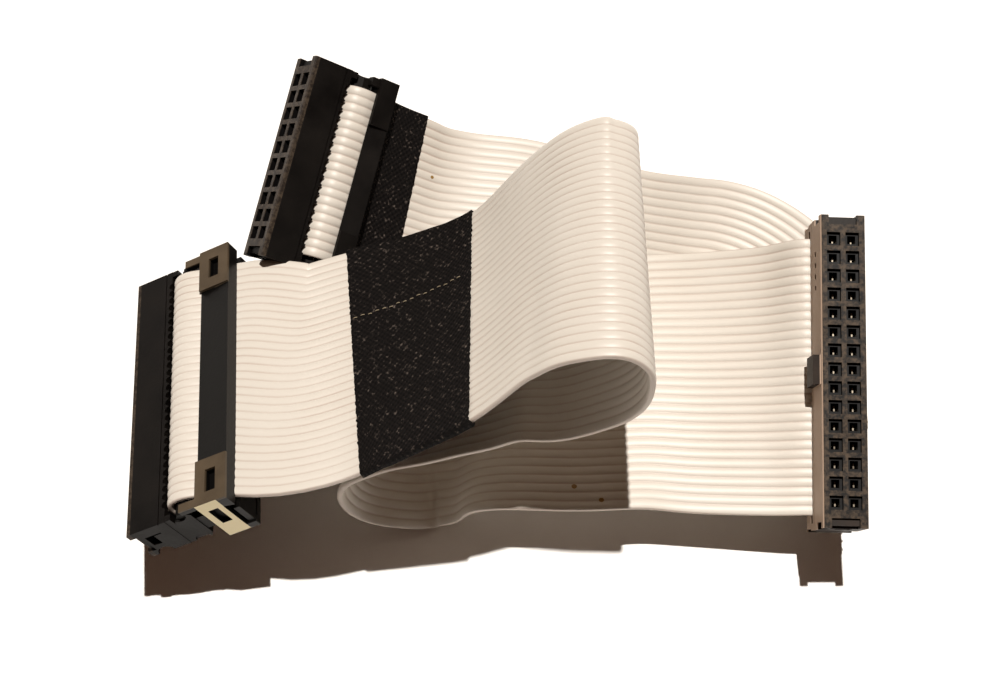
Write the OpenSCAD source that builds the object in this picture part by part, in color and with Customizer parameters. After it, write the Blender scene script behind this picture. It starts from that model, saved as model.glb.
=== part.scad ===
// Flat ribbon cable: thirty wires between two thirty-way sockets, twenty of them on to a twenty-way socket.
// Each socket has its own frame: X across its thickness, Y along its pin rows, Z out of its mating face,
// with the origin at the middle of the plane where the ribbon is clamped.

/* [Grid] */
// Distance between socket contacts
pin_pitch = 2.54; // [2.54:0.01:2.54]
// Distance between wires in the ribbon
wire_pitch = 1.27; // [1.27:0.01:1.27]

/* [Socket] */
// Thickness of a socket across its two rows
socket_w = 6.1; // [5.8:0.1:6.6]
// Height of the mating face above the clamped ribbon
body_h = 6.6; // [6:0.1:7.5]
// Extra length past the contacts, both ends together
end_extra = 4.1; // [3.8:0.1:4.6]
// Thickness of the clamping cover below the ribbon
cover_h = 2.9; // [2.4:0.1:3.2]
// Side of the square lead-in round each contact
lead_side = 1.85; // [1.6:0.05:1.9]
// Depth of the lead-in
lead_depth = 0.6; // [0.3:0.1:0.8]
// Side of the square contact hole
hole_side = 1.1; // [1:0.05:1.3]

/* [Strain relief] */
// Nearest face of the clip, behind the clamped ribbon
clip_front = 4.95; // [4.6:0.05:5.2]
// Length of the clip along the ribbon
clip_depth = 4.75; // [4.5:0.05:5]
// Thickness of the clip across the ribbon
clip_w = 8.2; // [8:0.1:8.6]

/* [Ribbon] */
// Thickness of the ribbon over its wires
ribbon_t = 0.9; // [0.8:0.05:1]
// Thickness of one layer of cloth tape
tape_t = 0.35; // [0.3:0.05:0.4]

/* [Hidden] */
$fn = 24;

long_cols = 15;
short_cols = 10;
wide_ribbon = 30 * wire_pitch;
narrow_ribbon = 20 * wire_pitch;
half_w = socket_w / 2;
half_t = ribbon_t / 2;
row_x = pin_pitch / 2;
clip_back = clip_front + clip_depth;
over = 0.01;

// Where each socket lies: position, then turns about X, Y and Z
stand = [0.8, -0.4, 0.12];
socket_a = [stand + [-43.5, -13.5, 11.5], [-144.5, -59, 153.5]];
socket_b = [stand + [-26, 21, 12.5], [20.5, -50.5, -31]];
socket_c = [stand + [45.5, -11, 14.5], [10.5, 3.5, -0.5]];

// The ribbon's centreline inside socket A and its clip: X and Z in the socket's frame
way_out = [[-2.6, 0], [1.4, 0], [2.3, -0.1], [3.15, -0.6], [3.6, -1.5], [3.6, -2.8], [3, -4.6],
    [1.8, -7.2], [1.2, -9.9]];
way_out_c = [[-4.5, -0.4], [-2.5, 0], [0.5, 0], [3.3, 0]];

// The free stretches: centre, then the width's heading from +Y towards +X, then how far its far edge rises
wide_route = [
    [-27.5, -12.2, 18.8, -4, -18.5], [-19.5, -10.5, 20.5, -3, -19], [-11.5, -9, 24, -2, -23],
    [-3.5, -7, 29, -1, -25], [3.5, -3.5, 36.5, 0, -22], [8, -2.5, 41.5, 1, -19],
    [12.5, -2.3, 44, 1, -16.5], [15.5, -2.5, 43.5, 1, -17], [17.5, -3, 41.5, 0, -16],
    [18, -3.6, 38.5, -1, -15], [17.5, -4.2, 34.7, -2, -14], [15.5, -4.5, 30.4, -3, -13],
    [12, -4.8, 26.3, -2, -12], [8, -5.1, 23, -1, -13], [3, -5.2, 21, 1, -15], [-1.5, -6, 18.5, 3, -15],
    [-6, -7, 16, 7, -16], [-11, -8.5, 13.5, 12, -17], [-14, -9.5, 11.5, 17, -17],
    [-15.5, -10, 9.5, 19, -14], [-15, -10.5, 6.5, 19, -10], [-13, -10.5, 5, 18, -3.5],
    [-10, -10, 3.7, 16, 1.5], [-6.5, -10, 3.7, 15, 1.5], [-3.5, -10, 4.8, 13, -2.5], [-0.5, -10, 6.8, 11, -6.5],
    [3.5, -10, 8.3, 8, -7.5], [11, -10, 8.5, 6, -6.5], [20, -9.5, 9, 4, -3], [28, -10, 10, 3, 1],
    [36, -10.5, 12, 2, 5]];
narrow_route = [
    [49.7, -4.8, 13, 1, 12], [49.3, -4.8, 11.2, 1, 11], [47.6, -4.8, 9.6, 3, 11], [45, -4.4, 9, 6, 11],
    [41, -1.5, 9.2, 12, 12], [37, 3, 9.8, 15, 13], [33.5, 5.6, 9.9, 15, 14], [30, 7.2, 9.4, 14, 14],
    [25.5, 8.5, 8, 14, 13], [18, 11.5, 4.5, 15, 10], [10, 15.3, 2.2, 15, 5], [2.5, 18.4, 1.5, 14, 2],
    [-4.5, 19.2, 1.5, 14, 2.5], [-9.5, 19.3, 2.6, 15, 5.5], [-13.5, 19.6, 5, 15, 9]];
narrow_offset = (wide_ribbon - narrow_ribbon) / 2;
rings_per_span = 2;
tape_first = 10 * rings_per_span;
tape_last = 12 * rings_per_span;
narrow_tape_first = 16 * rings_per_span;
narrow_tape_last = 18 * rings_per_span;

function unit(v) = v / norm(v);
function turn_x(a, v) = [v[0], v[1] * cos(a) - v[2] * sin(a), v[1] * sin(a) + v[2] * cos(a)];
function turn_y(a, v) = [v[0] * cos(a) + v[2] * sin(a), v[1], v[2] * cos(a) - v[0] * sin(a)];
function turn_z(a, v) = [v[0] * cos(a) - v[1] * sin(a), v[0] * sin(a) + v[1] * cos(a), v[2]];
function turned(s, v) = turn_z(s[1][2], turn_y(s[1][1], turn_x(s[1][0], v)));
function heading(az, rise) = [sin(az) * cos(rise), cos(az) * cos(rise), sin(rise)];
function in_socket(s, p, y = 0) = [s[0] + turned(s, [p[0], y, p[1]]), turned(s, [0, 1, 0])];
function free(r) = [stand + [r[0], r[1], r[2]], heading(r[3], r[4])];

function pick(list, i) = list[max(0, min(len(list) - 1, i))];
function blend(a, b, c, d, t) =
    (2 * b + (c - a) * t + (2 * a - 5 * b + 4 * c - d) * t * t + (3 * b - a - 3 * c + d) * t * t * t) / 2;
function smooth(route, k) = [
    for (i = [0 : (len(route) - 1) * rings_per_span])
        let (j = min(floor(i / rings_per_span), len(route) - 2), t = i / rings_per_span - j)
            blend(pick(route, j - 1)[k], route[j][k], route[j + 1][k], pick(route, j + 2)[k], t)];
function ring(mid, along, across, section) =
    let (side = unit(across - along * (across * along)), up = cross(along, side))
        [for (q = section) mid + side * q[0] + up * q[1]];
function strip_section(w, t, c) = [[w / 2, c - t / 2], [w / 2, t / 2 - c], [w / 2 - c, t / 2],
    [c - w / 2, t / 2], [-w / 2, t / 2 - c], [-w / 2, c - t / 2], [c - w / 2, -t / 2], [w / 2 - c, -t / 2]];

wide_stations = concat([for (p = way_out) in_socket(socket_a, p)], [for (r = wide_route) free(r)],
    [for (p = way_out_c) in_socket(socket_c, p)]);
narrow_stations = concat([for (p = [[3.3, 0], [3.8, -0.15]]) in_socket(socket_c, p, narrow_offset)],
    [for (r = narrow_route) free(r)],
    [for (i = [len(way_out) - 1 : -1 : 0]) in_socket(socket_b, way_out[i])]);

// Rings of points that follow a route from one ring to another
function swept(route, first, last, section) =
    let (mids = smooth(route, 0), acrosses = smooth(route, 1))
        [for (i = [first : last])
            each ring(mids[i], unit(pick(mids, i + 1) - pick(mids, i - 1)), acrosses[i], section)];
// Two triangles for each side of a skin over such rings
function skin(count, n, shift = 0) = [
    for (i = [0 : count - 2]) for (j = [0 : n - 1])
        let (a = shift + i * n + j, b = shift + i * n + (j + 1) % n)
            each [[a, b, b + n], [a, b + n, a + n]]];
function flipped(faces) = [for (f = faces) [f[2], f[1], f[0]]];

// One strip swept along part of a route
module strip(route, first, last, w, t) {
    section = strip_section(w, t, 0.3 * t);
    n = len(section);
    count = last - first + 1;
    cap = [for (j = [1 : n - 2]) [0, j + 1, j]];
    far_cap = [for (f = cap) [for (k = [2 : -1 : 0]) f[k] + (count - 1) * n]];
    polyhedron(swept(route, first, last, section), concat(skin(count, n), cap, far_cap), convexity = 10);
}

// A sleeve of tape round a ribbon
module tape(route, first, last, w) {
    outer = strip_section(w + 2 * tape_t, ribbon_t + 2 * tape_t, 0.3 * ribbon_t);
    inner = strip_section(w, ribbon_t, 0.3 * ribbon_t);
    n = len(outer);
    count = last - first + 1;
    inside = n * count;
    rim = [for (j = [0 : n - 1]) let (k = (j + 1) % n) each [[j, inside + j, inside + k], [j, inside + k, k]]];
    far_rim = [for (f = flipped(rim)) [for (k = f) k + (count - 1) * n]];
    polyhedron(concat(swept(route, first, last, outer), swept(route, first, last, inner)),
        concat(skin(count, n), flipped(skin(count, n, inside)), rim, far_rim), convexity = 10);
}

module put(s) {
    translate(s[0]) rotate(s[1]) children();
}

// A profile in the socket's X and Z, run along Y between two places
module run(profile, from, to) {
    translate([0, to, 0]) rotate([90, 0, 0]) linear_extrude(to - from) polygon(profile);
}

module block(x, y, z) {
    translate([x[0], y[0], z[0]]) cube([x[1] - x[0], y[1] - y[0], z[1] - z[0]]);
}

function half_len(cols) = (cols * pin_pitch + end_extra) / 2;
function col_y(cols, i) = (i - (cols - 1) / 2) * pin_pitch;

// Half-round seats for the wires, along one face of the clamp
module wire_seats(cols, z) {
    seat_r = 0.5;
    for (i = [0 : 2 * cols - 1])
        translate([0, (i - cols + 0.5) * wire_pitch, z])
            rotate([0, 90, 0]) cylinder(r = seat_r, h = socket_w + 2, center = true);
}

module body_end(cols) {
    y = half_len(cols);
    bar_top = body_h - 0.5;
    // notch between the corner posts, with a low bar left in it
    block([-1.9, 1.9], [y - 1.3, y + 1], [bar_top, body_h + 1]);
    block([-1.9, 1.9], [y - 0.35, y + 1], [bar_top - 0.9, bar_top + over]);
    // latch window, its thin tail, and the half-round finger pocket
    block([-0.9, 1.3], [y - 1, y + 1], [3.5, 4.8]);
    block([1.05, 1.3], [y - 0.6, y + 1], [2.3, 3.5 + over]);
    translate([-half_w, y - 0.9, 4.3]) rotate([-90, 0, 0]) cylinder(r = 1.2, h = 2);
}

module socket_body(cols) {
    y = half_len(cols);
    chamfer = 0.2;
    key_l = 4;
    key_out = 1;
    difference() {
        union() {
            run([[-half_w, half_t], [half_w, half_t], [half_w, body_h - chamfer], [half_w - chamfer, body_h],
                [chamfer - half_w, body_h], [-half_w, body_h - chamfer]], -y, y);
            run([[-half_w - key_out, 2.2], [-half_w + over, 1.6], [-half_w + over, body_h - 0.5],
                [-half_w - key_out, body_h - 0.9]], -key_l / 2, key_l / 2);
        }
        for (i = [0 : cols - 1]) for (x = [-row_x, row_x]) translate([x, col_y(cols, i), 0]) {
            block([-lead_side / 2, lead_side / 2], [-lead_side / 2, lead_side / 2],
                [body_h - lead_depth, body_h + 1]);
            block([-hole_side / 2, hole_side / 2], [-hole_side / 2, hole_side / 2], [1.2, body_h]);
            block([-0.3, 0.3], [-1.1, 1.1], [half_t - 1, 1.3]);
        }
        wire_seats(cols, half_t);
        for (s = [-1, 1]) block([s * half_w - 0.15, s * half_w + 0.15], [-y - 1, y + 1], [1.35, 1.5]);
        body_end(cols);
        mirror([0, 1, 0]) body_end(cols);
        // four shallow marks on the keyed face, near one end
        for (i = [0 : 3]) block([-half_w - 1, 0.35 - half_w], [y - 9.9 + i * 1.55, y - 9.2 + i * 1.55], [3, 3.8]);
    }
}

module socket_cover(cols, post) {
    y = half_len(cols);
    bottom = -half_t - cover_h;
    foot = 1.6;
    difference() {
        union() {
            run([[-half_w, -half_t], [-half_w, bottom + 0.5], [0.5 - half_w, bottom], [half_w - 0.5, bottom],
                [half_w, bottom + 0.5], [half_w, -half_t - 1.1], [half_w - 0.9, -half_t - 0.2],
                [half_w - 1.6, -half_t]], -y, y);
            for (s = [-1, 1]) {
                block([-1.4, 1.4], [s * (y - 0.9) - 0.8, s * (y - 0.9) + 0.8], [post, bottom + over]);
                block([-half_w, half_w], [s * (y - 0.5) - 0.45, s * (y - 0.5) + 0.45], [-half_t - over, half_t - 0.02]);
            }
        }
        wire_seats(cols, -half_t);
        for (i = [0 : cols - 1]) for (x = [-row_x, row_x]) translate([x, col_y(cols, i), 0])
            block([-0.3, 0.3], [-1.1, 1.1], [-1.9, 0]);
        for (s = [-1, 1]) for (x = [-1, 1])
            translate([x * half_w, s * (y + 0.6), -foot]) rotate([90, 0, 0])
                cylinder(r = 1.1, h = 1.8, center = true);
    }
}

// One row of pressed contacts: a spring leaf in the hole and a fork through the ribbon
module contact_row(cols, side) {
    leaf_t = 0.2;
    leaf_w = 0.7;
    prong_w = 0.22;
    fork_gap = 0.36;
    for (i = [0 : cols - 1]) translate([side * row_x, col_y(cols, i), 0]) {
        block([0.15, 0.15 + leaf_t], [-leaf_w / 2, leaf_w / 2], [0.9, body_h - lead_depth - 1.3]);
        block([-leaf_t / 2, 0.15 + leaf_t], [-0.95, 0.95], [0.7, 1.1]);
        for (s = [-1, 1]) translate([0, side * wire_pitch / 2 + s * (fork_gap + prong_w) / 2, 0])
            block([-leaf_t / 2, leaf_t / 2], [-prong_w / 2, prong_w / 2], [-1.6, 0.8]);
    }
}

// Clip over the ribbon behind a socket: bars above and below the ribbon, joined by end plates
module strain_relief(cols, z0, z1, x, under, windows) {
    y = half_len(cols) + 0.25;
    end_l = 7;
    plate = 1;
    difference() {
        union() {
            run(concat([[x - 0.2, z1], [x - 0.6, z0]], under), -y + end_l - over, y - end_l + over);
            for (s = [-1, 1]) {
                run(concat([[x, z1], [x, z0]], under), s * (y - end_l / 2) - end_l / 2,
                    s * (y - end_l / 2) + end_l / 2);
                block([-x, x], [s * (y - plate / 2) - plate / 2, s * (y - plate / 2) + plate / 2], [z1 + 1.5, z0]);
                block([-x, 1 - x], [s * (y - plate / 2) - plate / 2, s * (y - plate / 2) + plate / 2], [z1, z0]);
                block([3, x - 0.2], [s * (y - 0.85) - 0.6, s * (y - 0.85) + 0.6], [z1 + 1, -2.35]);
            }
            block([-x, 0.65], [-y + 0.3, y - 0.3], [z1 + 0.1, z1 + 1]);
            block([-x, 0.8 - x], [-y + over, y - over], [z1, z0]);
        }
        for (s = [-1, 1]) {
            if (windows) translate([x, s * (y - end_l / 2), (z0 + z1) / 2]) cube([2.4, 3.4, 1.6], center = true);
            translate([0.6, s * y, z0 - 1.7]) cube([3.4, 1.4, 1.5], center = true);
        }
    }
}

module socket_a_body() color("#211c18") put(socket_a) socket_body(long_cols);
module socket_a_cover() color("#1b1714") put(socket_a) socket_cover(long_cols, 0.02 - clip_front);
module socket_a_contacts_upper() color("#c9c3b4") put(socket_a) contact_row(long_cols, 1);
module socket_a_contacts_lower() color("#c9c3b4") put(socket_a) contact_row(long_cols, -1);
module socket_a_strain_relief() color("#4a3f33") put(socket_a) strain_relief(long_cols, -clip_front, -clip_back,
    clip_w / 2, [[3.5, -clip_front], [2.45, -clip_front - 2.25], [2, 0.8 - clip_back], [1.75, -clip_back]], true);
module socket_b_body() color("#211c18") put(socket_b) socket_body(short_cols);
module socket_b_cover() color("#1b1714") put(socket_b) socket_cover(short_cols, -3.63);
module socket_b_contacts_upper() color("#c9c3b4") put(socket_b) contact_row(short_cols, 1);
module socket_b_contacts_lower() color("#c9c3b4") put(socket_b) contact_row(short_cols, -1);
module socket_b_strain_relief() color("#1b1714") put(socket_b) strain_relief(short_cols, -3.65, -6.65,
    4.5, [[3.85, -3.65], [3.35, -5], [2.6, -6.65]], false);
module socket_c_body() color("#211c18") put(socket_c) socket_body(long_cols);
module socket_c_cover() color("#1b1714") put(socket_c) socket_cover(long_cols, 0.02 - clip_front);
module socket_c_contacts_left() color("#c9c3b4") put(socket_c) contact_row(long_cols, -1);
module socket_c_contacts_right() color("#c9c3b4") put(socket_c) contact_row(long_cols, 1);

module ribbon_30_way() {
    color("#ece1d4") strip(wide_stations, 0, (len(wide_stations) - 1) * rings_per_span, wide_ribbon, ribbon_t);
}

module ribbon_20_way() {
    color("#ece1d4")
        strip(narrow_stations, 0, (len(narrow_stations) - 1) * rings_per_span, narrow_ribbon, ribbon_t);
}

module tape_wrap_wide() color("#17130f") tape(wide_stations, tape_first, tape_last, wide_ribbon);
module tape_wrap_narrow() color("#17130f") tape(narrow_stations, narrow_tape_first, narrow_tape_last, narrow_ribbon);

socket_a_body();
socket_a_cover();
socket_a_contacts_upper();
socket_a_contacts_lower();
socket_a_strain_relief();
socket_b_body();
socket_b_cover();
socket_b_contacts_upper();
socket_b_contacts_lower();
socket_b_strain_relief();
socket_c_body();
socket_c_cover();
socket_c_contacts_left();
socket_c_contacts_right();
ribbon_30_way();
ribbon_20_way();
tape_wrap_wide();
tape_wrap_narrow();
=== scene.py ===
# Flat ribbon cable: two thirty-way sockets and a twenty-way one, crimped on one ribbon, with cloth tape wraps
import math
import bpy
import numpy as np
from mathutils import Euler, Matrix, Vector, noise


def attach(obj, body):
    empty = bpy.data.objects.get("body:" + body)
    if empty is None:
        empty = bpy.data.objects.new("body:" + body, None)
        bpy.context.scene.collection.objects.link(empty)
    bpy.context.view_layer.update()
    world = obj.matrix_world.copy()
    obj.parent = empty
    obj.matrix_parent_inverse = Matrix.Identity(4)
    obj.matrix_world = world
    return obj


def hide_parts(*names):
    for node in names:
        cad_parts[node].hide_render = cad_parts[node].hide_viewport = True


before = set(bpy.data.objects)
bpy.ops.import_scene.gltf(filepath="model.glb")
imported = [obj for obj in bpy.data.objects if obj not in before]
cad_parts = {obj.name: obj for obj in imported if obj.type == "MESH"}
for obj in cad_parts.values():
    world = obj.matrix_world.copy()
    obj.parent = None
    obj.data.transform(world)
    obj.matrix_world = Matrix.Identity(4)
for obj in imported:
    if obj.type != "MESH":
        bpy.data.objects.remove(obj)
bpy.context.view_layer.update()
scene = bpy.context.scene
mm = 0.001
print("frame loaded")

# Millimetres, as in the part's own source
layout = {
    "stand": (0.8, -0.4, 0.12),
    "sockets": {
        "a": {"at": (-43.5, -13.5, 11.5), "turn": (-144.5, -59, 153.5)},
        "b": {"at": (-26, 21, 12.5), "turn": (20.5, -50.5, -31)},
        "c": {"at": (45.5, -11, 14.5), "turn": (10.5, 3.5, -0.5)},
    },
    "wirePitch": 1.27,
    "wireRadius": 0.45,
    # ribbon inside a socket and its clip, X and Z in the socket's own frame
    "wayOut": ((-2.6, 0), (1.4, 0), (2.3, -0.1), (3.15, -0.6), (3.6, -1.5), (3.6, -2.8), (3, -4.6),
               (1.8, -7.2), (1.2, -9.9)),
    "wayOutOpen": ((-4.5, -0.4), (-2.5, 0), (0.5, 0), (3.3, 0)),
    # centre, heading of the width from +Y towards +X, rise of the far edge
    "wideRoute": (
        (-27.5, -12.2, 18.8, -4, -18.5), (-19.5, -10.5, 20.5, -3, -19), (-11.5, -9, 24, -2, -23),
        (-3.5, -7, 29, -1, -25), (3.5, -3.5, 36.5, 0, -22), (8, -2.5, 41.5, 1, -19),
        (12.5, -2.3, 44, 1, -16.5), (15.5, -2.5, 43.5, 1, -17), (17.5, -3, 41.5, 0, -16),
        (18, -3.6, 38.5, -1, -15), (17.5, -4.2, 34.7, -2, -14), (15.5, -4.5, 30.4, -3, -13),
        (12, -4.8, 26.3, -2, -12), (8, -5.1, 23, -1, -13), (3, -5.2, 21, 1, -15), (-1.5, -6, 18.5, 3, -15),
        (-6, -7, 16, 7, -16), (-11, -8.5, 13.5, 12, -17), (-14, -9.5, 11.5, 17, -17),
        (-15.5, -10, 9.5, 19, -14), (-15, -10.5, 6.5, 19, -10), (-13, -10.5, 5, 18, -3.5),
        (-10, -10, 3.7, 16, 1.5), (-6.5, -10, 3.7, 15, 1.5), (-3.5, -10, 4.8, 13, -2.5),
        (-0.5, -10, 6.8, 11, -6.5), (3.5, -10, 8.3, 8, -7.5), (11, -10, 8.5, 6, -6.5), (20, -9.5, 9, 4, -3),
        (28, -10, 10, 3, 1), (36, -10.5, 12, 2, 5)),
    "narrowRoute": (
        (49.7, -4.8, 13, 1, 12), (49.3, -4.8, 11.2, 1, 11), (47.6, -4.8, 9.6, 3, 11), (45, -4.4, 9, 6, 11),
        (41, -1.5, 9.2, 12, 12), (37, 3, 9.8, 15, 13), (33.5, 5.6, 9.9, 15, 14), (30, 7.2, 9.4, 14, 14),
        (25.5, 8.5, 8, 14, 13), (18, 11.5, 4.5, 15, 10), (10, 15.3, 2.2, 15, 5), (2.5, 18.4, 1.5, 14, 2),
        (-4.5, 19.2, 1.5, 14, 2.5), (-9.5, 19.3, 2.6, 15, 5.5), (-13.5, 19.6, 5, 15, 9)),
}
stand = Vector(layout["stand"])


def socketPoint(name, p, y=0.0):
    # a place in a socket's frame, with the socket's long axis as the ribbon's width
    s = layout["sockets"][name]
    turn = Euler([math.radians(a) for a in s["turn"]]).to_matrix()
    return (stand + Vector(s["at"]) + turn @ Vector((p[0], y, p[1])), turn @ Vector((0, 1, 0)))


def freePoint(r):
    az, rise = math.radians(r[3]), math.radians(r[4])
    across = Vector((math.sin(az) * math.cos(rise), math.cos(az) * math.cos(rise), math.sin(rise)))
    return (stand + Vector(r[:3]), across)


pitch = layout["wirePitch"]
wideStations = ([socketPoint("a", p) for p in layout["wayOut"]]
                + [freePoint(r) for r in layout["wideRoute"]]
                + [socketPoint("c", p) for p in layout["wayOutOpen"]])
narrowStations = ([socketPoint("c", p, 5 * pitch) for p in ((3.3, 0), (3.8, -0.15))]
                  + [freePoint(r) for r in layout["narrowRoute"]]
                  + [socketPoint("b", p) for p in reversed(layout["wayOut"])])


def along(stations, t, k):
    last = len(stations) - 1
    t = max(0.0, min(float(last), t))
    j = min(int(t), last - 1)
    u = t - j
    a, b, c, d = (stations[max(0, min(last, j + i))][k] for i in (-1, 0, 1, 2))
    return (2 * b + (c - a) * u + (2 * a - 5 * b + 4 * c - d) * u ** 2 + (3 * b - a - 3 * c + d) * u ** 3) / 2


def ringFrame(stations, t):
    mid = along(stations, t, 0)
    ahead = (along(stations, t + 0.5, 0) - along(stations, t - 0.5, 0)).normalized()
    across = along(stations, t, 1)
    side = (across - ahead * ahead.dot(across)).normalized()
    return mid, side, ahead.cross(side)


# camera and light come before anything is made
viewSet = {"at": (0, -90.8, 249.5), "tilt": 20, "lens": 65.3}
lightSet = {"sunTravel": (-0.036, -0.232, -1), "sunPower": 4.7, "sunSpread": 1.0,
            "sunColour": "#fffaf4", "skyColour": "#d9a88c", "skyPower": 0.09}


def hexColour(text):
    # sRGB hex to linear
    out = []
    for i in (1, 3, 5):
        c = int(text[i:i + 2], 16) / 255
        out.append(c / 12.92 if c <= 0.04045 else ((c + 0.055) / 1.055) ** 2.4)
    return (*out, 1.0)


camera = bpy.data.objects.new("camera", bpy.data.cameras.new("camera"))
scene.collection.objects.link(camera)
camera.location = (stand + Vector(viewSet["at"])) * mm
camera.rotation_euler = (math.radians(viewSet["tilt"]), 0, 0)
camera.data.sensor_width = 36
camera.data.lens = viewSet["lens"]
camera.data.clip_start = 0.01
scene.camera = camera
# plain sRGB display, so that white paper stays white and black plastic black
scene.view_settings.view_transform = "Standard"

sun = bpy.data.objects.new("sun", bpy.data.lights.new("sun", "SUN"))
scene.collection.objects.link(sun)
sun.data.energy = lightSet["sunPower"]
sun.data.angle = math.radians(lightSet["sunSpread"])
sun.data.color = hexColour(lightSet["sunColour"])[:3]
sun.rotation_euler = Vector(lightSet["sunTravel"]).to_track_quat("-Z", "Y").to_euler()

world = bpy.data.worlds.new("room")
scene.world = world
world.use_nodes = True
world.node_tree.nodes["Background"].inputs[0].default_value = hexColour(lightSet["skyColour"])
world.node_tree.nodes["Background"].inputs[1].default_value = lightSet["skyPower"]
print("camera and light set")


def addNode(tree, kind, settings=None, inputs=None, links=None):
    node = tree.nodes.new("ShaderNode" + kind)
    for name, value in (settings or {}).items():
        setattr(node, name, value)
    for name, value in (inputs or {}).items():
        node.inputs[name].default_value = value
    for name, source in (links or {}).items():
        tree.links.new(source, node.inputs[name])
    return node


def newMaterial(name, roughness, ior=1.5, metallic=0.0):
    mat = bpy.data.materials.new(name)
    mat.use_nodes = True
    tree = mat.node_tree
    shader = tree.nodes["Principled BSDF"]
    shader.inputs["Roughness"].default_value = roughness
    shader.inputs["Metallic"].default_value = metallic
    if not metallic:
        shader.inputs["IOR"].default_value = ior
    return mat, tree, shader


def fillRamp(ramp, stops):
    points = ramp.color_ramp.elements
    while len(points) > 1:
        points.remove(points[-1])
    points[0].position, points[0].color = stops[0][0], hexColour(stops[0][1])
    for place, colour in stops[1:]:
        points.new(place).color = hexColour(colour)


def makePvc():
    # extruded PVC ribbon: satin cream ribs in random duller patches, with painted shade, browner and darker, in the
    # grooves between the ribs, patchy in strength
    pvc = {"rib": "#cec7bd", "ribDull": "#c8c0b4", "grooveShade": "#b3a397", "fleck": "#8a6a35",
           "roughness": 0.47, "flecksPerMm": 0.55}
    mat, tree, shader = newMaterial("extrudedCreamPvc", pvc["roughness"], 1.53)
    uv = addNode(tree, "UVMap", {"uv_map": "UVMap"})
    parts = addNode(tree, "SeparateXYZ", links={0: uv.outputs[0]})
    # U is metres across, counted from the first wire's outer edge
    turns = addNode(tree, "Math", {"operation": "MULTIPLY"}, {1: 1 / (pitch * mm)}, {0: parts.outputs[0]})
    cell = addNode(tree, "Math", {"operation": "FRACT"}, links={0: turns.outputs[0]})
    off = addNode(tree, "Math", {"operation": "SUBTRACT"}, {1: 0.5}, {0: cell.outputs[0]})
    far = addNode(tree, "Math", {"operation": "ABSOLUTE"}, links={0: off.outputs[0]})
    valley = addNode(tree, "MapRange", {"interpolation_type": "SMOOTHSTEP"}, {1: 0.33, 2: 0.5, 3: 0.0, 4: 1.0},
                     {0: far.outputs[0]})
    place = addNode(tree, "TexCoord")
    blotch = addNode(tree, "TexNoise", inputs={"Scale": 90.0, "Detail": 4.0},
                     links={"Vector": place.outputs["Object"]})
    # painted shade in the grooves: a random strength from 0.45 to 1, times the valley mask, mixes in the groove colour
    grooveShadeStrength = addNode(tree, "MapRange", inputs={1: 0.35, 2: 0.7, 3: 0.45, 4: 1.0}, links={0: blotch.outputs[0]})
    amount = addNode(tree, "Math", {"operation": "MULTIPLY"}, links={0: valley.outputs[0], 1: grooveShadeStrength.outputs[0]})
    tone = addNode(tree, "Mix", {"data_type": "RGBA"}, {6: hexColour(pvc["rib"]), 7: hexColour(pvc["ribDull"])},
                   {0: blotch.outputs[0]})
    lined = addNode(tree, "Mix", {"data_type": "RGBA"}, {7: hexColour(pvc["grooveShade"])},
                    {0: amount.outputs[0], 6: tone.outputs[2]})
    spots = addNode(tree, "TexVoronoi", inputs={"Scale": pvc["flecksPerMm"] / mm},
                    links={"Vector": place.outputs["Object"]})
    chance = addNode(tree, "SeparateXYZ", links={0: spots.outputs["Color"]})
    rare = addNode(tree, "Math", {"operation": "GREATER_THAN"}, {1: 0.985}, {0: chance.outputs[0]})
    near = addNode(tree, "Math", {"operation": "LESS_THAN"}, {1: 0.22}, {0: spots.outputs["Distance"]})
    fleck = addNode(tree, "Math", {"operation": "MULTIPLY"}, links={0: rare.outputs[0], 1: near.outputs[0]})
    flecked = addNode(tree, "Mix", {"data_type": "RGBA"}, {7: hexColour(pvc["fleck"])},
                      {0: fleck.outputs[0], 6: lined.outputs[2]})
    tree.links.new(flecked.outputs[2], shader.inputs["Base Color"])
    # faint drawing marks from the die
    skin = addNode(tree, "TexNoise", inputs={"Scale": 900.0, "Detail": 3.0},
                   links={"Vector": place.outputs["Object"]})
    bump = addNode(tree, "Bump", inputs={"Strength": 0.06, "Distance": 0.0002},
                   links={"Height": skin.outputs[0]})
    tree.links.new(bump.outputs[0], shader.inputs["Normal"])
    return mat


def inSocket(tree, name, place):
    # three distances, in metres, along a socket's own X, Y and Z
    turn = Euler([math.radians(a) for a in layout["sockets"][name]["turn"]]).to_matrix()
    origin = stand + Vector(layout["sockets"][name]["at"])
    out = []
    for k in range(3):
        axis = turn.col[k]
        reach = addNode(tree, "VectorMath", {"operation": "DOT_PRODUCT"}, {1: axis}, {0: place})
        out.append(addNode(tree, "Math", {"operation": "SUBTRACT"}, {1: origin.dot(axis) * mm},
                           {0: reach.outputs["Value"]}).outputs[0])
    return out


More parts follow.
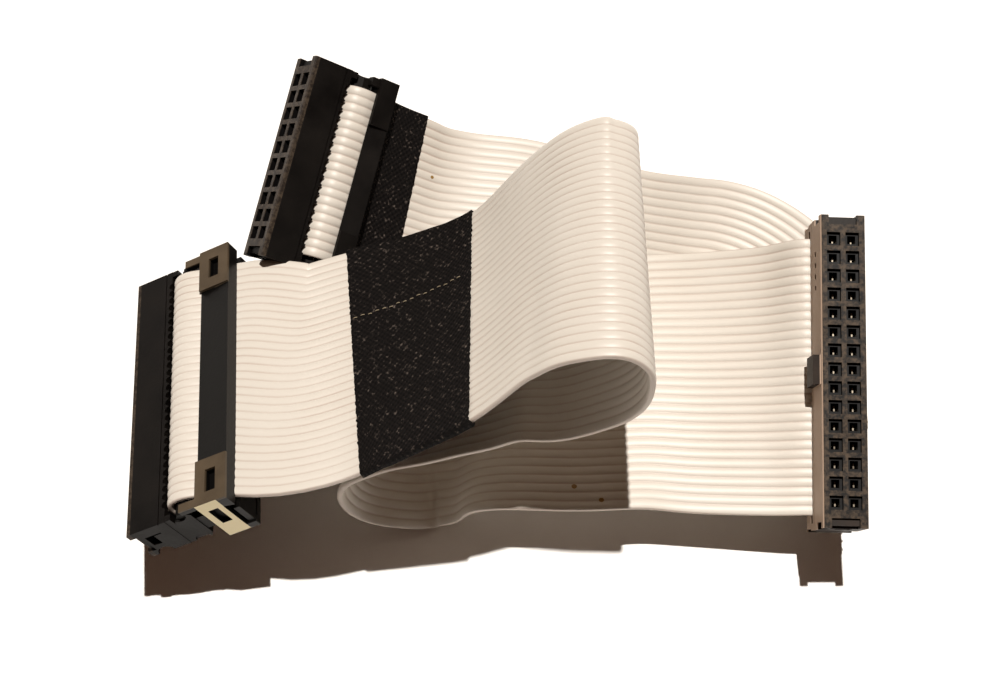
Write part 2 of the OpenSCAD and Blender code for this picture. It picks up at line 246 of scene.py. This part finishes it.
def makeSocketPlastic(name, socket, look):
    # glass-filled polyester, moulded black: fine pits, paler brown where the outer faces are rubbed,
    # and painted shade, near black, inside the lead-ins
    mat, tree, shader = newMaterial(name, look["roughness"], 1.55)
    place = addNode(tree, "TexCoord")
    patch = addNode(tree, "TexNoise", inputs={"Scale": 160.0, "Detail": 6.0, "Roughness": 0.65},
                    links={"Vector": place.outputs["Object"]})
    tone = addNode(tree, "ValToRGB", links={0: patch.outputs[0]})
    fillRamp(tone, ((0.35, look["dark"]), (0.72, look["paleTone"])))
    x, y, z = inSocket(tree, socket, place.outputs["Object"])
    topped = addNode(tree, "Math", {"operation": "GREATER_THAN"}, {1: look["rubbedAbove"] * mm}, {0: z})
    grain = addNode(tree, "TexNoise", inputs={"Scale": 1300.0, "Detail": 4.0, "Roughness": 0.7},
                    links={"Vector": place.outputs["Object"]})
    face = addNode(tree, "ValToRGB", links={0: grain.outputs[0]})
    fillRamp(face, ((0.4, look["faceDark"]), (0.62, look["face"])))
    withFace = addNode(tree, "Mix", {"data_type": "RGBA"}, links={0: topped.outputs[0], 6: tone.outputs[0],
                                                                  7: face.outputs[0]})
    # the long face with the key on it, but not the key itself
    beside = addNode(tree, "Math", {"operation": "LESS_THAN"}, {1: -look["keyedFrom"] * mm}, {0: x})
    notKey = addNode(tree, "Math", {"operation": "GREATER_THAN"}, {1: -3.2 * mm}, {0: x})
    outside = addNode(tree, "Math", {"operation": "MULTIPLY"},
                      links={0: beside.outputs[0], 1: notKey.outputs[0]})
    # for the standing socket this keyed-face colour is painted light, pale brown
    keyed = addNode(tree, "Mix", {"data_type": "RGBA"}, {7: hexColour(look["keyedFace"])},
                    {0: outside.outputs[0], 6: withFace.outputs[2]})
    width = addNode(tree, "Math", {"operation": "ABSOLUTE"}, links={0: x})
    within = addNode(tree, "Math", {"operation": "LESS_THAN"}, {1: 2.25 * mm}, {0: width.outputs[0]})
    below = addNode(tree, "Math", {"operation": "LESS_THAN"}, {1: 6.5 * mm}, {0: z})
    length = addNode(tree, "Math", {"operation": "ABSOLUTE"}, links={0: y})
    reach = addNode(tree, "Math", {"operation": "LESS_THAN"}, {1: look["leadInShadeTo"] * mm}, {0: length.outputs[0]})
    hollow = addNode(tree, "Math", {"operation": "MULTIPLY"}, links={0: within.outputs[0], 1: below.outputs[0]})
    leadInShade = addNode(tree, "Math", {"operation": "MULTIPLY"}, links={0: hollow.outputs[0], 1: reach.outputs[0]})
    # painted shade: the lead-ins below the mating face are painted near black
    withPaintedLight = addNode(tree, "Mix", {"data_type": "RGBA"}, {7: hexColour("#060404")},
                    {0: leadInShade.outputs[0], 6: keyed.outputs[2]})
    tree.links.new(withPaintedLight.outputs[2], shader.inputs["Base Color"])
    shader.inputs["Specular IOR Level"].default_value = look["shine"]
    rough = addNode(tree, "MapRange", inputs={1: 0.3, 2: 0.7, 3: look["roughness"] - 0.08,
                                              4: look["roughness"] + 0.12}, links={0: patch.outputs[0]})
    tree.links.new(rough.outputs[0], shader.inputs["Roughness"])
    pits = addNode(tree, "TexNoise", inputs={"Scale": 2500.0, "Detail": 2.0},
                   links={"Vector": place.outputs["Object"]})
    bump = addNode(tree, "Bump", inputs={"Strength": 0.12, "Distance": 0.0001},
                   links={"Height": pits.outputs[0]})
    tree.links.new(bump.outputs[0], shader.inputs["Normal"])
    return mat


def makeClipPlastic():
    # the front socket's clip: the same moulding rubbed to a brown-grey on its end blocks, black on its middle bar,
    # and a painted highlight, cream, on the end plate nearest the viewer
    clip = {"block": "#4b3f30", "bar": "#050403", "creamHighlight": "#e9dcb4", "dark": "#0a0807", "blockFrom": 14.3,
            "plateFrom": 20.9, "topFrom": 3.7, "roughness": 0.45}
    mat, tree, shader = newMaterial("mouldedClipBrown", clip["roughness"], 1.55)
    place = addNode(tree, "TexCoord")
    x, y, z = inSocket(tree, "a", place.outputs["Object"])
    size = addNode(tree, "Math", {"operation": "ABSOLUTE"}, links={0: y})
    isBlock = addNode(tree, "Math", {"operation": "GREATER_THAN"}, {1: clip["blockFrom"] * mm}, {0: size.outputs[0]})
    isTop = addNode(tree, "Math", {"operation": "GREATER_THAN"}, {1: clip["topFrom"] * mm}, {0: x})
    rubbed = addNode(tree, "Math", {"operation": "MULTIPLY"},
                     links={0: isBlock.outputs[0], 1: isTop.outputs[0]})
    isEnd = addNode(tree, "Math", {"operation": "LESS_THAN"}, {1: -clip["plateFrom"] * mm}, {0: y})
    isAhead = addNode(tree, "Math", {"operation": "GREATER_THAN"}, {1: -8.25 * mm}, {0: z})
    isBehind = addNode(tree, "Math", {"operation": "LESS_THAN"}, {1: -4.93 * mm}, {0: z})
    between = addNode(tree, "Math", {"operation": "MULTIPLY"},
                      links={0: isAhead.outputs[0], 1: isBehind.outputs[0]})
    isPlate = addNode(tree, "Math", {"operation": "MULTIPLY"},
                      links={0: isEnd.outputs[0], 1: between.outputs[0]})
    # the painted highlight covers only the plate's own outer face, not the walls of its window
    shape = addNode(tree, "NewGeometry")
    outward = socketPoint("a", (0, 0))[1] * -1
    faceOn = addNode(tree, "VectorMath", {"operation": "DOT_PRODUCT"}, {1: outward}, {0: shape.outputs["Normal"]})
    square = addNode(tree, "Math", {"operation": "GREATER_THAN"}, {1: 0.7}, {0: faceOn.outputs["Value"]})
    highlightMask = addNode(tree, "Math", {"operation": "MULTIPLY"}, links={0: isPlate.outputs[0], 1: square.outputs[0]})
    patch = addNode(tree, "TexNoise", inputs={"Scale": 220.0, "Detail": 6.0},
                    links={"Vector": place.outputs["Object"]})
    shade = addNode(tree, "MapRange", inputs={1: 0.3, 2: 0.7, 3: 0.7, 4: 1.2}, links={0: patch.outputs[0]})
    body = addNode(tree, "Mix", {"data_type": "RGBA"}, {6: hexColour(clip["bar"]), 7: hexColour(clip["block"])},
                   {0: rubbed.outputs[0]})
    toned = addNode(tree, "VectorMath", {"operation": "SCALE"}, links={0: body.outputs[2], 3: shade.outputs[0]})
    # painted highlight: the end plate's outer face is painted cream
    withPaintedLight = addNode(tree, "Mix", {"data_type": "RGBA"}, {7: hexColour(clip["creamHighlight"])},
                    {0: highlightMask.outputs[0], 6: toned.outputs[0]})
    tree.links.new(withPaintedLight.outputs[2], shader.inputs["Base Color"])
    shader.inputs["Specular IOR Level"].default_value = 0.2
    pits = addNode(tree, "TexNoise", inputs={"Scale": 2500.0, "Detail": 2.0},
                   links={"Vector": place.outputs["Object"]})
    bump = addNode(tree, "Bump", inputs={"Strength": 0.12, "Distance": 0.0001},
                   links={"Height": pits.outputs[0]})
    tree.links.new(bump.outputs[0], shader.inputs["Normal"])
    return mat


def makeTin():
    # tin-plated phosphor bronze, pressed: bright but grey, with soft streaks
    tin = {"bright": "#a79c8b", "dull": "#5f564b", "roughness": 0.35}
    mat, tree, shader = newMaterial("tinPlatedBronze", tin["roughness"], metallic=1.0)
    place = addNode(tree, "TexCoord")
    streak = addNode(tree, "TexNoise", inputs={"Scale": 1400.0, "Detail": 3.0},
                     links={"Vector": place.outputs["Object"]})
    tone = addNode(tree, "ValToRGB", links={0: streak.outputs[0]})
    fillRamp(tone, ((0.35, tin["dull"]), (0.65, tin["bright"])))
    tree.links.new(tone.outputs[0], shader.inputs["Base Color"])
    return mat


def makeCloth():
    # black cotton tape, plain woven: matt threads with pale lint on their crowns
    cloth = {"thread": 0.42, "dark": "#040303", "crown": "#14100e", "lint": "#7b6f66", "roughness": 0.85}
    mat, tree, shader = newMaterial("wovenCottonTape", cloth["roughness"], 1.45)
    uv = addNode(tree, "UVMap", {"uv_map": "UVMap"})
    parts = addNode(tree, "SeparateXYZ", links={0: uv.outputs[0]})
    waves = []
    for axis in (0, 1):
        turned = addNode(tree, "Math", {"operation": "MULTIPLY"}, {1: math.pi / (cloth["thread"] * mm)},
                         {0: parts.outputs[axis]})
        wave = addNode(tree, "Math", {"operation": "SINE"}, links={0: turned.outputs[0]})
        waves.append(wave)
    # one thread over, one under
    plain = addNode(tree, "Math", {"operation": "MULTIPLY"},
                    links={0: waves[0].outputs[0], 1: waves[1].outputs[0]})
    crown = addNode(tree, "MapRange", inputs={1: -1.0, 2: 1.0, 3: 0.0, 4: 1.0}, links={0: plain.outputs[0]})
    place = addNode(tree, "TexCoord")
    fluff = addNode(tree, "TexNoise", inputs={"Scale": 1500.0, "Detail": 4.0, "Roughness": 0.7},
                    links={"Vector": place.outputs["Object"]})
    lint = addNode(tree, "MapRange", inputs={1: 0.57, 2: 0.72, 3: 0.0, 4: 0.75}, links={0: fluff.outputs[0]})
    onCrown = addNode(tree, "Math", {"operation": "MULTIPLY"}, links={0: lint.outputs[0], 1: crown.outputs[0]})
    base = addNode(tree, "Mix", {"data_type": "RGBA"}, {6: hexColour(cloth["dark"]), 7: hexColour(cloth["crown"])},
                   {0: crown.outputs[0]})
    dusty = addNode(tree, "Mix", {"data_type": "RGBA"}, {7: hexColour(cloth["lint"])},
                    {0: onCrown.outputs[0], 6: base.outputs[2]})
    tree.links.new(dusty.outputs[2], shader.inputs["Base Color"])
    bump = addNode(tree, "Bump", inputs={"Strength": 0.5, "Distance": 0.0002},
                   links={"Height": crown.outputs[0]})
    tree.links.new(bump.outputs[0], shader.inputs["Normal"])
    shader.inputs["Specular IOR Level"].default_value = 0.12
    return mat


def makePlain(name, colour, roughness, metallic=0.0, spread="#ffffff", scale=300.0, mixBy=0.15):
    # one finish with a soft cloud of a second tone
    mat, tree, shader = newMaterial(name, roughness, metallic=metallic)
    place = addNode(tree, "TexCoord")
    cloud = addNode(tree, "TexNoise", inputs={"Scale": scale, "Detail": 3.0},
                    links={"Vector": place.outputs["Object"]})
    amount = addNode(tree, "MapRange", inputs={1: 0.3, 2: 0.7, 3: 0.0, 4: mixBy}, links={0: cloud.outputs[0]})
    tone = addNode(tree, "Mix", {"data_type": "RGBA"}, {6: hexColour(colour), 7: hexColour(spread)},
                   {0: amount.outputs[0]})
    tree.links.new(tone.outputs[2], shader.inputs["Base Color"])
    return mat


pvc = makePvc()
# the two lying sockets show only their smooth black sides; the standing one gets a lighter copy of the same moulding,
# painted light, and its keyed side face is painted pale brown for the light it catches
blackLook = {"dark": "#070504", "paleTone": "#120e0b", "face": "#453b31", "faceDark": "#241d18", "keyedFace": "#0c0907",
             "keyedFrom": 3.6, "rubbedAbove": 5.9, "roughness": 0.5, "leadInShadeTo": 19.2, "shine": 0.12}
litCopyLook = {"dark": "#17120e", "paleTone": "#30261f", "face": "#4a3d30", "faceDark": "#120e0b", "keyedFace": "#a58f7d",
              "keyedFrom": 2.9, "rubbedAbove": 6.3, "roughness": 0.48, "leadInShadeTo": 19.2, "shine": 0.15}
socketFinish = {"a": makeSocketPlastic("mouldedPolyesterFront", "a", blackLook),
                "b": makeSocketPlastic("mouldedPolyesterRear", "b", blackLook),
                "c": makeSocketPlastic("mouldedPolyesterLitCopy", "c", litCopyLook)}
clipBrown = makeClipPlastic()
tin = makeTin()
clothTape = makeCloth()
strandCopper = makePlain("drawnCopperStrand", "#b8693c", 0.3, 1.0, "#e0a070")
seamThread = makePlain("spunCottonThread", "#8d7f66", 0.8, 0.0, "#b9ab93")
paper = makePlain("whitePaper", "#f7f5f2", 0.9, 0.0, "#ffffff")
print("materials made")


def makeMesh(name, verts, faces, uvs, mat, smooth=True):
    # lengths come in as millimetres
    mesh = bpy.data.meshes.new(name)
    mesh.from_pydata([Vector(v) * mm for v in verts], [], faces)
    mesh.validate()
    if uvs:
        layer = mesh.uv_layers.new(name="UVMap")
        index = np.empty(len(mesh.loops), dtype=np.int32)
        mesh.loops.foreach_get("vertex_index", index)
        layer.data.foreach_set("uv", (np.array(uvs)[index] * mm).ravel())
    mesh.polygons.foreach_set("use_smooth", [smooth] * len(mesh.polygons))
    mesh.materials.append(mat)
    obj = bpy.data.objects.new(name, mesh)
    scene.collection.objects.link(obj)
    return obj


def ribProfile(count):
    # top from one edge to the other, then the bottom back: round ribs with a thin web between
    places = []
    for i in range(count):
        mid = (i - (count - 1) / 2) * pitch
        for t in (-0.635, -0.52, -0.3, 0, 0.3, 0.52):
            places.append((mid + t, layout["wireRadius"] * math.sqrt(1 - (t / 0.82) ** 2)))
    places.append((count * pitch / 2, places[0][1]))
    return places, [(y, -z) for y, z in reversed(places)]


def makeRibbon(name, stations, count, perSpan):
    top, bottom = ribProfile(count)
    section = top + bottom
    n, half = len(section), count * pitch / 2
    rings = (len(stations) - 1) * perSpan + 1
    verts, uvs, path = [], [], []
    run = 0.0
    for i in range(rings):
        mid, side, up = ringFrame(stations, i / perSpan)
        run += (mid - path[-1]).length if path else 0.0
        path.append(mid)
        verts += [mid + side * y + up * z for y, z in section]
        uvs += [(y + half, run) for y, _ in section]
    faces = [(i * n + j, i * n + (j + 1) % n, (i + 1) * n + (j + 1) % n, (i + 1) * n + j)
             for i in range(rings - 1) for j in range(n)]
    m = len(top)
    end = (rings - 1) * n
    for j in range(m - 1):
        faces.append((j + 1, j, n - 1 - j, n - 2 - j))
        faces.append((end + j, end + j + 1, end + n - 2 - j, end + n - 1 - j))
    obj = makeMesh(name, verts, faces, uvs, pvc)
    return obj, path, run


ribbonWide, widePath, wideLength = makeRibbon("ribbonThirtyWay", wideStations, 30, 5)
ribbonNarrow, narrowPath, narrowLength = makeRibbon("ribbonTwentyWay", narrowStations, 20, 6)
print("ribbons made", round(wideLength, 1), round(narrowLength, 1))


def makeStrands():
    # the ten cut wires at the open socket: seven bare strands in each
    strand = {"radius": 0.06, "ring": 0.13, "proud": 0.12, "sides": 8}
    verts, faces = [], []
    last = len(wideStations) - 1
    mid, side, up = ringFrame(wideStations, last)
    ahead = side.cross(up)
    for i in range(10):
        wire = mid + side * ((i - 14.5) * pitch)
        for k in range(7):
            a = k * math.pi / 3
            at = wire if k == 6 else wire + (side * math.cos(a) + up * math.sin(a)) * strand["ring"]
            base = len(verts)
            reach = strand["proud"] * (1 + 0.4 * math.sin(3.1 * k + i))
            for d in (-0.1, reach):
                for s in range(strand["sides"]):
                    b = 2 * math.pi * s / strand["sides"]
                    verts.append(at + ahead * d + (side * math.cos(b) + up * math.sin(b)) * strand["radius"])
            m = strand["sides"]
            faces += [(base + s, base + (s + 1) % m, base + m + (s + 1) % m, base + m + s) for s in range(m)]
            faces += [tuple(base + s for s in reversed(range(m))), tuple(base + m + s for s in range(m))]
    return makeMesh("cutStrands", verts, faces, None, strandCopper, False)


strands = makeStrands()


def makeTape(name, stations, first, last, count, seed):
    # a sleeve of cloth round the ribbon, a little slack and wrinkled, with uneven cut edges
    tape = {"perSpan": 26, "thick": 0.3, "inner": 0.42, "wrinkle": 0.07, "edge": 0.22, "step": 0.32}
    half = count * pitch / 2
    n = int(count * pitch / tape["step"])
    rings = int((last - first) * tape["perSpan"]) + 1
    ys = [-half + 2 * half * j / n for j in range(n + 1)]
    loop = [(y, 1) for y in ys] + [(y, -1) for y in reversed(ys)]
    m = len(loop)
    verts, uvs = [], []
    grid = {}
    for layer in (1, 0):
        run, before = 0.0, None
        for i in range(rings):
            t = first + i / tape["perSpan"]
            mid, side, up = ringFrame(stations, t)
            run += (mid - before).length if before else 0.0
            before = mid
            ahead = side.cross(up)
            fray = max(0.0, 1 - min(i, rings - 1 - i) / 3)
            for j, (y, face) in enumerate(loop):
                p = Vector((y * 0.5, run * 0.35, seed + face * 7.0))
                lift = tape["inner"] + layer * (tape["thick"] * 0.6
                                                + tape["wrinkle"] * (noise.noise(p) + 0.6 * noise.noise(p * 2.7)))
                spread = y * (1 + layer * tape["thick"] / half)
                slip = fray * tape["edge"] * (noise.noise(Vector((y * 2.2, i * 0.1, seed))) - 0.1)
                slip *= 1 if i > rings / 2 else -1
                verts.append(mid + side * spread + up * face * lift + ahead * slip)
                uvs.append((y + half + (0 if face > 0 else 0.21), run))
            grid[(layer, i)] = len(verts) - m
    faces = []
    for layer in (1, 0):
        for i in range(rings - 1):
            a, b = grid[(layer, i)], grid[(layer, i + 1)]
            for j in range(m):
                k = (j + 1) % m
                quad = (a + j, a + k, b + k, b + j)
                faces.append(quad if layer else quad[::-1])
    for i, flip in ((0, False), (rings - 1, True)):
        a, b = grid[(1, i)], grid[(0, i)]
        for j in range(m):
            k = (j + 1) % m
            quad = (a + j, b + j, b + k, a + k)
            faces.append(quad[::-1] if flip else quad)
    return makeMesh(name, verts, faces, uvs, clothTape)


tapeWide = makeTape("clothTapeWide", wideStations, 10, 12, 30, 3.0)
tapeNarrow = makeTape("clothTapeNarrow", narrowStations, 16, 18, 20, 11.0)


def makeSeam():
    # a pale stitched line that runs along the tape
    seam = {"stitch": 0.55, "gap": 0.5, "radius": 0.055, "lift": 0.66, "sides": 6, "bow": 0.07,
            "from": 6.4, "drift": 0.9, "stations": (10.05, 11.95)}
    verts, faces = [], []
    a, b = seam["stations"]
    marks = [along(wideStations, a + (b - a) * i / 40, 0) for i in range(41)]
    lengthMm = sum((marks[i + 1] - marks[i]).length for i in range(40))
    count = int(lengthMm / (seam["stitch"] + seam["gap"]))
    for c in range(count):
        base = len(verts)
        for r in range(5):
            d = (c * (seam["stitch"] + seam["gap"]) + seam["stitch"] * r / 4) / lengthMm
            mid, side, up = ringFrame(wideStations, a + (b - a) * d)
            y = seam["from"] + seam["drift"] * d + 0.12 * math.sin(2.3 * c)
            high = seam["lift"] + seam["bow"] * math.sin(math.pi * r / 4)
            for s in range(seam["sides"]):
                q = 2 * math.pi * s / seam["sides"]
                verts.append(mid + side * (y + seam["radius"] * math.cos(q))
                             + up * (high + seam["radius"] * math.sin(q)))
        n = seam["sides"]
        for r in range(4):
            faces += [(base + r * n + s, base + r * n + (s + 1) % n, base + (r + 1) * n + (s + 1) % n,
                       base + (r + 1) * n + s) for s in range(n)]
        faces += [tuple(base + s for s in reversed(range(n))), tuple(base + 4 * n + s for s in range(n))]
    return makeMesh("tapeSeam", verts, faces, None, seamThread)


tapeSeam = makeSeam()
print("tapes made")

floor = makeMesh("paperFloor", [(-6000, -6000, 0), (6000, -6000, 0), (6000, 6000, 0), (-6000, 6000, 0)], [(0, 1, 2, 3)],
                 None, paper, False)

for name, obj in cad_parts.items():
    if name.startswith("ribbon"):
        finish = pvc
    elif name.startswith("tape"):
        finish = clothTape
    elif "contacts" in name:
        finish = tin
    elif name == "socket_a_strain_relief":
        finish = clipBrown
    else:
        finish = socketFinish[name[7]]
    obj.data.materials.clear()
    obj.data.materials.append(finish)

for piece in (ribbonWide, ribbonNarrow, strands, tapeWide, tapeNarrow, tapeSeam):
    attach(piece, "root")
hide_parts("ribbon_30_way")
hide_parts("ribbon_20_way")
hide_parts("tape_wrap_wide")
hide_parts("tape_wrap_narrow")
print("pieces placed")
